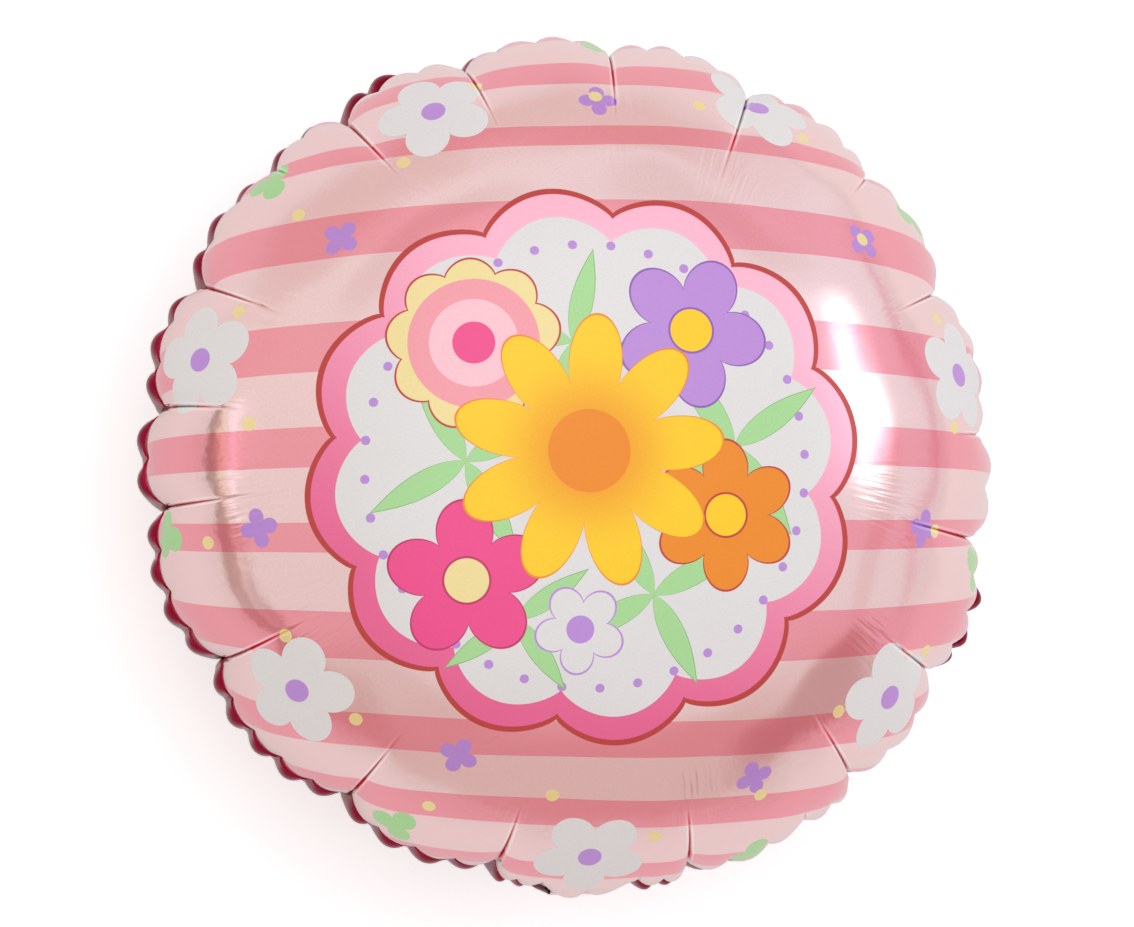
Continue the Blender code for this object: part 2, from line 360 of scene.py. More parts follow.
class FoilShape(bpy.types.PropertyGroup):
    """Sizes of the folds and wrinkles that the films carry, and of the shade and gleam painted along the
    folds.
    """

    fold_depth: bpy.props.FloatProperty(
        name="Fold depth",
        description="Depth of the narrow groove along each pleat",
        default=0.0018,
        unit="LENGTH",
    )
    fold_width: bpy.props.FloatProperty(
        name="Fold width",
        description="Half the width of the groove along each pleat",
        default=0.0005,
        unit="LENGTH",
    )
    lip_height: bpy.props.FloatProperty(
        name="Lip height",
        description="Height of the lip beside each pleat's groove, where the film laps over",
        default=0.0006,
        unit="LENGTH",
    )
    wrinkle_height: bpy.props.FloatProperty(
        name="Wrinkle height",
        description="Height of the short wrinkles where the film gathers",
        default=0.00070,
        unit="LENGTH",
    )
    billow_height: bpy.props.FloatProperty(
        name="Billow height",
        description="Height of the broad, shallow waves in the film",
        default=0.0005,
        unit="LENGTH",
    )
    # Painted shade: a dark line painted into the film's colour along each fold
    fold_shade_line: bpy.props.FloatProperty(
        name="Fold shade line",
        description="Half the width of the dark line that the film mirrors into each fold",
        default=0.00036,
        unit="LENGTH",
    )
    # Painted highlight: a bright band painted into the film's colour beside each fold
    painted_fold_gleam: bpy.props.FloatProperty(
        name="Painted fold gleam",
        description="How bright the film is just beside each fold",
        default=0.28,
    )
    back_swell: bpy.props.FloatProperty(
        name="Back swell",
        description="How far the back film swells between the scallops' pinches, where it is loosest",
        default=0.0038,
        unit="LENGTH",
    )
    front_swell: bpy.props.FloatProperty(
        name="Front swell",
        description="How far the front film swells between the scallops' pinches, where it is loosest",
        default=0.0024,
        unit="LENGTH",
    )
    edge_proud: bpy.props.FloatProperty(
        name="Sealed edge",
        description="How far the sealed edge stands out of the groove between the films",
        default=0.0010,
        unit="LENGTH",
    )
    edge_film: bpy.props.FloatProperty(
        name="Sealed film",
        description="Thickness of the two films where they are sealed together",
        default=0.00022,
        unit="LENGTH",
    )


class FoilPrint(bpy.types.PropertyGroup):
    """Sizes and colours of the print."""

    medallion_place: bpy.props.FloatVectorProperty(
        name="Medallion place",
        description="Middle of the scalloped medallion on the flat film",
        size=2,
        default=(-0.011, -0.008),
        unit="LENGTH",
    )
    medallion_radius: bpy.props.FloatProperty(
        name="Medallion radius",
        description="Radius of the scalloped medallion on the flat film",
        default=0.1165,
        unit="LENGTH",
    )
    outline_width: bpy.props.FloatProperty(
        name="Outline width",
        description="Width of the dark line round the medallion",
        default=0.0026,
        unit="LENGTH",
    )
    band_width: bpy.props.FloatProperty(
        name="Band width",
        description="Width of the pink band inside the medallion's outline",
        default=0.0105,
        unit="LENGTH",
    )
    light_pink: bpy.props.FloatVectorProperty(
        name="Light pink",
        description="Ground colour of the stripes",
        subtype="COLOR",
        default=display(240, 210, 208),
    )
    mid_pink: bpy.props.FloatVectorProperty(
        name="Mid pink",
        description="Colour of the darker stripes",
        subtype="COLOR",
        default=display(240, 158, 168),
    )
    white: bpy.props.FloatVectorProperty(
        name="White ink",
        description="Colour of the opaque white ink",
        subtype="COLOR",
        default=display(222, 223, 221),
    )
    yellow: bpy.props.FloatVectorProperty(
        name="Yellow",
        description="Colour of the large flower's petals",
        subtype="COLOR",
        default=display(250, 205, 12),
    )
    orange: bpy.props.FloatVectorProperty(
        name="Orange",
        description="Colour of the flowers' centres and outlines",
        subtype="COLOR",
        default=display(235, 138, 12),
    )
    lavender: bpy.props.FloatVectorProperty(
        name="Lavender",
        description="Colour of the lavender flowers and dots",
        subtype="COLOR",
        default=display(185, 140, 215),
    )
    hot_pink: bpy.props.FloatVectorProperty(
        name="Hot pink",
        description="Colour of the deep pink flower",
        subtype="COLOR",
        default=display(236, 72, 140),
    )
    mint: bpy.props.FloatVectorProperty(
        name="Mint",
        description="Colour of the leaves",
        subtype="COLOR",
        default=display(165, 218, 148),
    )
    cream: bpy.props.FloatVectorProperty(
        name="Cream",
        description="Colour of the small pale dots",
        subtype="COLOR",
        default=display(238, 222, 155),
    )
    dark_red: bpy.props.FloatVectorProperty(
        name="Dark red",
        description="Colour of the medallion's outline",
        subtype="COLOR",
        default=display(186, 58, 52),
    )
    deep_hot_pink: bpy.props.FloatVectorProperty(
        name="Deep hot pink",
        description="Colour of the deep pink flower's outline",
        subtype="COLOR",
        default=display(190, 40, 100),
    )
    deep_lavender: bpy.props.FloatVectorProperty(
        name="Deep lavender",
        description="Colour of the large lavender flower's outline",
        subtype="COLOR",
        default=display(140, 90, 180),
    )
    deep_mint: bpy.props.FloatVectorProperty(
        name="Deep mint",
        description="Colour of the leaves' outlines",
        subtype="COLOR",
        default=display(120, 172, 104),
    )
    pale_pink: bpy.props.FloatVectorProperty(
        name="Pale pink",
        description="Colour of the rosette's pale ring",
        subtype="COLOR",
        default=display(246, 196, 206),
    )
    deep_band: bpy.props.FloatVectorProperty(
        name="Deep band",
        description="Colour of the medallion's band at the lower left",
        subtype="COLOR",
        default=display(234, 104, 152),
    )
    pale_band: bpy.props.FloatVectorProperty(
        name="Pale band",
        description="Colour of the medallion's band at the upper right",
        subtype="COLOR",
        default=display(250, 186, 206),
    )
    back_pink: bpy.props.FloatVectorProperty(
        name="Back pink",
        description="Tint of the metallised back film",
        subtype="COLOR",
        default=display(134, 16, 46),
    )


class FoilStudio(bpy.types.PropertyGroup):
    """The studio's light and camera."""

    camera_distance: bpy.props.FloatProperty(
        name="Camera distance",
        description="Distance of the camera from the middle of the balloon",
        default=1.8,
        unit="LENGTH",
    )
    camera_yaw: bpy.props.FloatProperty(
        name="Camera yaw",
        description="How far the camera stands to the left",
        default=math.radians(-10.0),
        subtype="ANGLE",
        unit="ROTATION",
    )
    camera_pitch: bpy.props.FloatProperty(
        name="Camera pitch",
        description="How far the camera stands towards the foot of the print",
        default=math.radians(-4.0),
        subtype="ANGLE",
        unit="ROTATION",
    )
    camera_roll: bpy.props.FloatProperty(
        name="Camera roll",
        description="How far the camera is rolled",
        default=math.radians(0.8),
        subtype="ANGLE",
        unit="ROTATION",
    )
    sky_strength: bpy.props.FloatProperty(
        name="Sky strength",
        description="Strength of the light from all round",
        default=0.96,
    )
    key_power: bpy.props.FloatProperty(
        name="Key power",
        description="Power of the large soft light overhead",
        default=7.0,
        unit="POWER",
    )
    fill_power: bpy.props.FloatProperty(
        name="Fill power",
        description="Power of the soft light beside the camera",
        default=3.0,
        unit="POWER",
    )
    glow_power: bpy.props.FloatProperty(
        name="Glow power",
        description="Power of the broad soft light at the right",
        default=0.55,
        unit="POWER",
    )
    halo_power: bpy.props.FloatProperty(
        name="Halo power",
        description="Power of the light round the narrow bright one",
        default=0.75,
        unit="POWER",
    )
    strip_power: bpy.props.FloatProperty(
        name="Strip power",
        description="Power of the narrow bright light in front of the broad one",
        default=0.95,
        unit="POWER",
    )


def film_profile():
    """Share of the way to the seam, radius, and height over the seam, of an ideal inflated disc.

    Where the film slopes by psi, its radius is the seam's times the root of sin(psi).
    """
    slope = np.linspace(0.0, 1.0, PROFILE_STEPS) ** 2 * math.pi / 2
    root_of_sine = np.sqrt(np.sin(slope))
    middle = np.sqrt(np.sin((slope[1:] + slope[:-1]) / 2))
    half_step = np.diff(slope) / 2
    along = np.concatenate([[0.0], np.cumsum(half_step / middle)])
    drop = np.concatenate([[0.0], np.cumsum(half_step * middle)])
    seam_radius = SHRINK * FLAT_RADIUS
    return along / along[-1], seam_radius * root_of_sine, seam_radius * (drop[-1] - drop)


SHARE, RADIUS, HEIGHT = film_profile()
SEAM_RADIUS = float(RADIUS[-1])
SEAM_HEIGHT = float(np.interp(REST_SPOT_RADIUS, RADIUS, HEIGHT))


def eased(value):
    """A smooth step from 0 to 1."""
    held = np.clip(value, 0.0, 1.0)
    return held * held * (3 - 2 * held)


def bell(distance, width):
    """A mark of 1 where the distance is 0, which falls off on both sides over the width."""
    return np.exp(-((distance / width) ** 2))


def pinches_of_scallops():
    """The angles of the pinches that bound the scallops, and whether each is at a pleat."""
    found = []
    starts = PLEATS[:, 0]
    for index, start in enumerate(starts):
        span = (starts[(index + 1) % len(starts)] - start) % 360.0
        count = max(2, round(span / SCALLOP_PITCH))
        found += [(start + span * step / count, step == 0) for step in range(count)]
    return found


PINCHES = pinches_of_scallops()
PINCH_ANGLES = np.array([angle for angle, _ in PINCHES])


def between(starts, angle):
    """The starts before and after each angle, and how far along between them the angle is."""
    after = np.searchsorted(starts, angle % 360.0, side="right") % len(starts)
    before = (after - 1) % len(starts)
    span = (starts[after] - starts[before]) % 360.0
    return before, after, ((angle - starts[before]) % 360.0) / span


def drawn_in(angle, from_seam, starts, reaches, depths):
    """How far the film is drawn in by the pinches on either side of each angle."""
    before, after, along = between(starts, angle)
    total = 0.0
    for away, pinch in ((2 * along, before), (2 - 2 * along, after)):
        near = np.clip(1 - away, 0.0, None)
        fade = eased(1 - from_seam / reaches[pinch])
        total = total + depths[pinch] * fade * (near**2 + near**5) / 2
    return total


def swerve(angle, from_seam):
    """How far round a point has moved, because the pleats beside it don't run straight in."""
    before, after, along = between(PLEATS[:, 0], angle)
    share = eased(along)
    moved = PLEATS[before, 3] * (1 - share) + PLEATS[after, 3] * share
    return moved * (1 - np.exp(-from_seam / PUFF_REACH))


def degrees_from(angle, azimuth):
    """How far an angle is from an azimuth, from -180 to 180 degrees."""
    return (angle - azimuth + 180.0) % 360.0 - 180.0


def beside_pleat(angle, start, radius):
    """How far round from a pleat a point lies, in metres."""
    return np.radians(degrees_from(angle, start)) * radius


def pleat_folds(angle, from_seam, radius, shape):
    """The groove along each pleat with its lip where the film laps over, and the painted shade along each
    fold.

    Beside a fold a painted gleam stands for the light that the film catches, and counts as less than no
    shade.
    """
    raised = np.zeros_like(angle)
    fold_shade_and_gleam = np.zeros_like(angle)
    for index, (start, reach, _, _) in enumerate(PLEATS):
        lap = 1 if index % 3 else -1
        beside = beside_pleat(angle, start, radius) * lap
        fade = eased(GROOVE_END - from_seam / (GROOVE_STRETCH * reach))
        raised -= shape.fold_depth * fade * np.exp(-np.abs(beside) / shape.fold_width)
        raised += shape.lip_height * fade * bell(beside / shape.fold_width - LIP_AWAY, LIP_SPREAD)
        away = np.abs(beside) / shape.fold_shade_line
        fade = eased(SHADE_LINE_SHARPNESS * (SHADE_LINE_END - from_seam / reach))
        fold_shade_and_gleam += fade * (bell(away, 1.0) - shape.painted_fold_gleam * bell(away - PAINTED_GLEAM_AWAY, 1.0))
    return raised, np.clip(fold_shade_and_gleam, -0.5, 1.0)


def gathers(angle, from_seam, radius):
    """How much the film gathers into short wrinkles, as it does round the long pleats' inner ends."""
    places = list(LONE_GATHERS)
    for index, (start, reach, _, _) in enumerate(PLEATS):
        if reach > GATHERED_REACH:
            strength = GATHER_STRENGTH + GATHER_VARIETY * math.sin(1.0 + 1.9 * index)
            places.append((start, GATHER_PLACE * reach, GATHER_ALONG, GATHER_ROUND, strength))
    total = np.zeros_like(angle)
    for azimuth, way_in, along, sideways, strength in places:
        beside = beside_pleat(angle, azimuth, radius)
        total += strength * bell(from_seam - way_in, along) * bell(beside, sideways)
    return np.minimum(1.0, total)


def leftward(angle):
    """How far an azimuth is towards the side where the back film is loose, from 0 to 1."""
    return (1 + np.cos(np.radians(angle - LOOSE_SIDE))) / 2


def swelling(angle, from_seam, side, shape):
    """How the lobes between the scallops' pinches swell: the back's most at the left, the front's least."""
    _, _, along = between(PINCH_ANGLES, angle)
    arch = np.sin(np.pi * along)
    left = leftward(angle)
    if side < 0:
        arch = (1 + BACK_PINCH) * arch - BACK_PINCH
        height = shape.back_swell * (BACK_SWELL_RIGHT + (1 - BACK_SWELL_RIGHT) * left)
        bumps = BACK_BUMPS
    else:
        height = shape.front_swell * (1 - (1 - FRONT_SWELL_LEFT) * left)
        bumps = FRONT_BUMPS
    height = height * np.clip(arch, 0.0, 1.0) ** SWELL_FULLNESS
    for azimuth, width, bump in bumps:
        height = height + bump * bell(degrees_from(angle, azimuth), width)
    reach = from_seam / SWELL_REACH
    return (height - SEAM_TUCK * left) * reach * np.exp(1 - reach)


def billows(across, up, flat, shape):
    """Broad shallow waves, which bend what the film mirrors."""
    total = 0.0
    for length, heading, height, start in BILLOWS:
        turn = math.radians(heading)
        along = across * math.cos(turn) + up * math.sin(turn)
        total = total + height * np.sin(2 * math.pi * along / length + start)
    ends = eased(flat / BILLOW_MIDDLE) * eased((FLAT_RADIUS - flat) / BILLOW_EDGE)
    return shape.billow_height * total * ends


def rim_wave(angle):
    """How far the seam wanders up and down on its way round."""
    return SEAM_WAVE * sum(
        share * np.sin(np.radians(count * angle + start)) for count, share, start in SEAM_LOBES
    )


def out_of_round(angle):
    """How much wider than a circle the plan is, as a share of its radius."""
    return sum(share * np.cos(np.radians(count * angle + start)) for count, share, start in PLAN_LOBES)


def film_points(angle, share, side, shape):
    """Places of the film's points in space and on the flat disc, with the painted shade and gleam of its
    folds, and a mark of its gathers.

    The side is 1 on the front film and -1 on the back film.
    """
    flat = share * FLAT_RADIUS
    from_seam = FLAT_RADIUS - flat
    radius = np.interp(share, SHARE, RADIUS)
    outward = np.minimum(1.0, (radius / SEAM_RADIUS) ** 2)
    turned = angle + swerve(angle, from_seam)
    turn = np.radians(turned)
    across, up = flat * np.cos(turn), flat * np.sin(turn)
    puff = PUFF_HEIGHT * eased(1 - from_seam / PUFF_REACH)
    puff = puff - drawn_in(angle, from_seam, PLEATS[:, 0], PLEATS[:, 1], PLEATS[:, 2])
    tight = 1 - leftward(PINCH_ANGLES)
    reaches = SCALLOP_REACH + (SCALLOP_REACH_RIGHT - SCALLOP_REACH) * tight
    depths = SCALLOP_DEPTH + (SCALLOP_DEPTH_RIGHT - SCALLOP_DEPTH) * tight
    puff = puff - drawn_in(angle, from_seam, PINCH_ANGLES, reaches, depths)
    puff = puff - GROOVE_DEPTH * np.exp(-from_seam / GROOVE_WIDTH)
    puff = puff + swelling(angle, from_seam, side, shape)
    raised, fold_shade_and_gleam = pleat_folds(angle, from_seam, radius, shape)
    puff = puff + raised + billows(across, up * side, flat, shape)
    over_seam = np.interp(share, SHARE, HEIGHT) + puff * np.sqrt(1 - outward**2)
    wave = rim_wave(angle) * eased(1 - from_seam / PUFF_REACH)
    plan = (radius + puff * outward) * (1 + out_of_round(turned) * outward)
    height = SEAM_HEIGHT + wave + side * (over_seam + SEAM_GAP / 2)
    points = np.stack([plan * np.cos(turn), plan * np.sin(turn), np.maximum(0.0, height)], axis=-1)
    # The fold mark is painted shade along each fold, with a painted gleam beside it
    marks = {"fold": fold_shade_and_gleam, "gather": gathers(angle, from_seam, radius)}
    return points, np.stack([across, up], axis=-1), marks


def spoke_angles():
    """The angles of the spokes: close together beside a pleat, and even between the other pinches."""
    found = []
    for index, (start, pleated) in enumerate(PINCHES):
        end, pleat_next = PINCHES[(index + 1) % len(PINCHES)]
        span = (end - start) % 360.0
        count = SPOKES_BY_PLEAT if pleated or pleat_next else SPOKES_BETWEEN
        share = np.arange(count) / count
        if pleated:
            share = share**FINER_AT_PLEAT
        elif pleat_next:
            share = 1 - (1 - share) ** FINER_AT_PLEAT
        found.append(start + span * share)
    return np.concatenate(found)


def ring_shares():
    """The rings' shares of the way from the middle to the seam."""
    flat = [np.linspace(low, high, steps, endpoint=False) for low, high, steps in RING_STEPS]
    return np.append(np.concatenate(flat), FLAT_RADIUS) / FLAT_RADIUS


SPOKES = spoke_angles()
RING_SHARES = ring_shares()


def spun(profile, edges, steps):
    """A bmesh spun a full turn round Z: one sector is spun from a profile, and copied round."""
    mesh = bmesh.new()
    verts = [mesh.verts.new(point) for point in profile]
    lines = [mesh.edges.new((verts[first], verts[second])) for first, second in edges]
    bmesh.ops.spin(
        mesh,
        geom=verts + lines,
        cent=(0, 0, 0),
        axis=(0, 0, 1),
        angle=2 * math.pi / SECTORS,
        steps=steps // SECTORS,
    )
    sector = [*mesh.verts, *mesh.edges, *mesh.faces]
    for number in range(1, SECTORS):
        copied = bmesh.ops.duplicate(mesh, geom=sector)["geom"]
        bmesh.ops.rotate(
            mesh,
            cent=(0, 0, 0),
            matrix=Matrix.Rotation(2 * math.pi * number / SECTORS, 3, "Z"),
            verts=[item for item in copied if isinstance(item, bmesh.types.BMVert)],
        )
    bmesh.ops.remove_doubles(mesh, verts=mesh.verts, dist=MERGE_DISTANCE)
    mesh.verts.ensure_lookup_table()
    return mesh


def spun_places(mesh):
    """Each vertex's distance from the axis, height and spoke in a freshly spun bmesh."""
    places = np.array([vert.co[:] for vert in mesh.verts])
    turn = np.arctan2(places[:, 1], places[:, 0]) % (2 * math.pi)
    spoke = np.round(turn / (2 * math.pi) * len(SPOKES)).astype(int) % len(SPOKES)
    return np.hypot(places[:, 0], places[:, 1]), places[:, 2], spoke


def move_verts(mesh, points):
    """Moves each vertex of a bmesh to its own point."""
    for vert, point in zip(mesh.verts, points):
        vert.co = point


def finished(mesh, name, flat, materials):
    """Turns a bmesh into a smooth object with its UV map of places on the flat film."""
    bmesh.ops.recalc_face_normals(mesh, faces=mesh.faces)
    data = bpy.data.meshes.new(name)
    mesh.to_mesh(data)
    mesh.free()
    corners = np.empty(len(data.loops), dtype=np.int32)
    data.loops.foreach_get("vertex_index", corners)
    data.uv_layers.new(name="print").data.foreach_set("uv", flat[corners].astype(np.float32).ravel())
    data.shade_smooth()
    data.set_sharp_from_angle(angle=math.radians(SHARP_ANGLE))
    for material in materials:
        data.materials.append(material)
    made = bpy.data.objects.new(name, data)
    bpy.context.scene.collection.objects.link(made)
    return made


def film(name, side, material, shape):
    """Half the envelope: a disc spun from one radius, blown up, and closed across the seam."""
    profile = [(share, 0.0, 0.0) for share in RING_SHARES]
    mesh = spun(profile, [(index, index + 1) for index in range(len(profile) - 1)], len(SPOKES))
    rim = [edge for edge in mesh.edges if edge.is_boundary]
    share, _, spoke = spun_places(mesh)
    points, flat, marks = film_points(SPOKES[spoke], np.minimum(share, 1.0), side, shape)
    move_verts(mesh, points)
    lid = bmesh.ops.contextual_create(mesh, geom=rim)["faces"]
    hub = bmesh.ops.poke(mesh, faces=lid)["verts"][0]
    hub.co = (0.0, 0.0, SEAM_HEIGHT + side * SEAM_GAP / 2)
    flat = np.append(flat, [[0.0, 0.0]], axis=0)
    made = finished(mesh, name, flat, [material])
    # Keeps the marks on the points: the painted fold shade and gleam, and the gathers
    for mark, values in marks.items():
        kept = made.data.attributes.new(mark, "FLOAT", "POINT")
        kept.data.foreach_set("value", np.append(values, 0.0).astype(np.float32))
    return made


def sealed_edge(materials, shape):
    """The rim where both films are sealed together: a thin strip round the groove between them."""
    half = shape.edge_film / 2
    outer, inner = 1.0 + shape.edge_proud, 1.0 - EDGE_TUCKED * shape.edge_proud
    profile = [(inner, 0, -half), (outer, 0, -half), (outer, 0, half), (inner, 0, half)]
    mesh = spun(profile, [(0, 1), (1, 2), (2, 3), (3, 0)], len(SPOKES))
    out, level, spoke = spun_places(mesh)
    angle = SPOKES[spoke]
    rim, flat, _ = film_points(angle, np.ones_like(angle), 1, shape)
    out = out - 1.0
    widened = 1 + out / np.hypot(rim[:, 0], rim[:, 1])
    crimp = CRIMP_HEIGHT * np.sin(np.radians(angle) * CRIMP_COUNT) * (out > 0)
    points = rim * widened[:, None]
    points[:, 2] = SEAM_HEIGHT + (rim[:, 2] - SEAM_GAP / 2 - SEAM_HEIGHT) * widened + level + crimp
    move_verts(mesh, points)
    for face in mesh.faces:
        face.normal_update()
        face.material_index = 1 if face.normal.z < -FACING_DOWN else 0
    return finished(mesh, "sealed_edge", flat * (1 + out / FLAT_RADIUS)[:, None], materials)


def tail_path():
    """The tail's middle line seen from its edge: out from the seam, over its fold and straight down."""
    lean = math.radians(TAIL_LEAN)
    fold_up = -SEAM_WAVE - SEAM_GAP - TAIL_FOLD - TAIL_RISE
    outer = -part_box("back_film")[0].y - SEAM_RADIUS
    thickened = TAIL_FOLD + TAIL_SOLID / 2
    straight_out = outer - TAIL_SOLID / 2 - thickened * (1 / math.cos(lean) - 1)
    fold_out = straight_out - TAIL_FOLD / math.cos(lean)
    path = []
    for step in range(TAIL_STEPS):
        path.append((fold_out - TAIL_ROOT * (1 - step / TAIL_STEPS), fold_up + TAIL_FOLD))
    for step in range(TAIL_STEPS + 1):
        turn = math.pi / 2 - (math.pi / 2 + lean) * step / TAIL_STEPS
        path.append((fold_out + TAIL_FOLD * math.cos(turn), fold_up + TAIL_FOLD * math.sin(turn)))
    out, up = path[-1]
    for step in range(1, 3 * TAIL_STEPS + 1):
        down = TAIL_LENGTH * step / (3 * TAIL_STEPS)
        path.append((out - down * math.sin(lean), up - down * math.cos(lean)))
    return np.array(path)


def inflation_tail(materials):
    """The inflation tail: two films sealed along their edges, folded down behind the balloon."""
    path = tail_path()
    lean = math.radians(TAIL_LEAN)
    lengths = np.hypot(*np.diff(path, axis=0).T)
    run = np.concatenate([[0.0], np.cumsum(lengths)])
    mesh = bmesh.new()
    bmesh.ops.create_grid(mesh, x_segments=len(path) - 1, y_segments=TAIL_STRIPS, size=1.0)
    places = np.array([vert.co[:] for vert in mesh.verts])
    step = np.round((places[:, 0] + 1) / 2 * (len(path) - 1)).astype(int)
    along, across = run[step], places[:, 1]
    foot = eased((along - run[-1] + TAIL_CORNER) / TAIL_CORNER)
    half = TAIL_WIDTH / 2 - TAIL_CORNER * foot * (1 - np.sqrt(1 - TAIL_FOOT * foot**2))
    half = half - TAIL_NECK * bell(along - TAIL_ROOT, TAIL_NECK_REACH)
    hung = eased((along - TAIL_ROOT) / TAIL_LENGTH * 2)
    pillow = np.cos(np.pi / 2 * np.clip(np.abs(across) / TAIL_PILLOW_WIDTH, 0, 1)) ** 2
    ripple = np.sin(2 * np.pi * TAIL_RIPPLES_ACROSS * across + TAIL_RIPPLE_TWIST * along)
    raised = hung * (TAIL_PILLOW * pillow + TAIL_RIPPLE * ripple)
    out = SEAM_RADIUS + path[step, 0] + raised * math.cos(lean)
    up = SEAM_HEIGHT + path[step, 1]
    move_verts(mesh, np.stack([half * across, -out, up], axis=-1))
    bmesh.ops.recalc_face_normals(mesh, faces=mesh.faces)
    bmesh.ops.solidify(mesh, geom=mesh.faces, thickness=TAIL_FILM)
    for face in mesh.faces:
        face.normal_update()
        inward = face.normal.y * math.cos(lean) + face.normal.z * math.sin(lean)
        hangs = face.calc_center_median().z < SEAM_HEIGHT
        face.material_index = 1 if hangs and inward > FACING_IN else 0
    places = np.array([vert.co[:] for vert in mesh.verts])
    beyond = np.interp(SEAM_HEIGHT - places[:, 2], -path[:, 1], run)
    print_place = np.stack([places[:, 0], -FLAT_RADIUS - beyond], axis=-1)
    return finished(mesh, "inflation_tail", print_place, materials)


class Nodes:
    """Adds nodes to a tree and links them."""

    def __init__(self, tree):
        self.tree = tree

    def add(self, kind, **settings):
        node = self.tree.nodes.new(kind)
        for name, value in settings.items():
            setattr(node, name, value)
        return node

    def feed(self, socket, value):
        """Links another socket to a socket, or sets its plain value."""
        if isinstance(value, bpy.types.NodeSocket):
            self.tree.links.new(value, socket)
        else:
            socket.default_value = value

    def math(self, operation, *values):
        node = self.add("ShaderNodeMath", operation=operation)
        for socket, value in zip(node.inputs, values):
            self.feed(socket, value)
        return node.outputs[0]

    def length(self, across, up):
        """The distance from the middle."""
        squares = (self.math("MULTIPLY", value, value) for value in (across, up))
        return self.math("SQRT", self.math("ADD", *squares))

    def vector(self, *values):
        """A vector of up to three values."""
        node = self.add("ShaderNodeCombineXYZ")
        for socket, value in zip(node.inputs, values):
            self.feed(socket, value)
        return node.outputs["Vector"]

    def noise(self, where, scale, detail):
        """A noise of between about -0.5 and 0.5."""
        node = self.add("ShaderNodeTexNoise")
        for name, value in (("Vector", where), ("Scale", scale), ("Detail", detail)):
            self.feed(node.inputs[name], value)
        return self.math("SUBTRACT", node.outputs[0], 0.5)

    def step(self, value, low, high):
        """Rises smoothly from 0 to 1 while the value goes from low to high."""
        node = self.add("ShaderNodeMapRange", interpolation_type="SMOOTHSTEP")
        self.feed(node.inputs["Value"], value)
        self.feed(node.inputs["From Min"], low)
        self.feed(node.inputs["From Max"], high)
        return node.outputs["Result"]

    def blend(self, share, under, over):
        """Lays a colour over another by a mask."""
        node = self.add("ShaderNodeMix", data_type="RGBA")
        self.feed(node.inputs[0], share)
        self.feed(node.inputs[6], self.opaque(under))
        self.feed(node.inputs[7], self.opaque(over))
        return node.outputs[2]

    def opaque(self, colour):
        return colour if isinstance(colour, bpy.types.NodeSocket) else (*colour[:3], 1.0)

    def group(self, tree, **values):
        """Places a node group, and feeds its inputs, whose names have spaces for underscores."""
        node = self.add("ShaderNodeGroup", node_tree=tree)
        for name, value in values.items():
            self.feed(node.inputs[name.replace("_", " ").capitalize()], value)
        return node.outputs


def new_group(name, inputs, outputs):
    """A node group with float inputs, given with their defaults, and outputs of the kinds given."""
    tree = bpy.data.node_groups.new(name, "ShaderNodeTree")
    for label, default in inputs:
        socket = tree.interface.new_socket(label, in_out="INPUT", socket_type="NodeSocketFloat")
        socket.default_value = default
    for label, kind in outputs:
        tree.interface.new_socket(label, in_out="OUTPUT", socket_type="NodeSocket" + kind)
    nodes = Nodes(tree)
    return tree, nodes, nodes.add("NodeGroupInput").outputs, nodes.add("NodeGroupOutput").inputs


def petal_group():
    """How far inside the edge of a petalled shape a point is, and its share of the way out."""
    tree, nodes, given, put = new_group(
        "petalled_shape",
        (
            ("Across", 0.0),
            ("Up", 0.0),
            ("Centre across", 0.0),
            ("Centre up", 0.0),
            ("Radius", 0.02),
            ("Petals", 5.0),
            ("Waist", 0.6),
            ("Turn", 0.0),
            ("Pointed", 0.0),
        ),
        (("Inside", "Float"), ("Way out", "Float")),
    )
    across = nodes.math("SUBTRACT", given["Across"], given["Centre across"])
    up = nodes.math("SUBTRACT", given["Up"], given["Centre up"])
    away = nodes.length(across, up)
    turn = nodes.math("SUBTRACT", nodes.math("ARCTAN2", up, across), given["Turn"])
    half = nodes.math("MULTIPLY", nodes.math("MULTIPLY", turn, given["Petals"]), 0.5)
    crest = nodes.math("ABSOLUTE", nodes.math("COSINE", half))
    trough = nodes.math("ABSOLUTE", nodes.math("SINE", half))
    rounded = nodes.math("POWER", crest, PETAL_ROUNDNESS)
    sharp = nodes.math("SUBTRACT", 1.0, nodes.math("POWER", trough, LEAF_ROUNDNESS))
    lobe = nodes.math("MULTIPLY_ADD", nodes.math("SUBTRACT", sharp, rounded), given["Pointed"], rounded)
    swell = nodes.math("MULTIPLY", lobe, nodes.math("SUBTRACT", 1.0, given["Waist"]))
    edge = nodes.math("MULTIPLY", given["Radius"], nodes.math("ADD", given["Waist"], swell))
    nodes.feed(put["Inside"], nodes.math("SUBTRACT", edge, away))
    nodes.feed(put["Way out"], nodes.math("DIVIDE", away, given["Radius"]))
    return tree


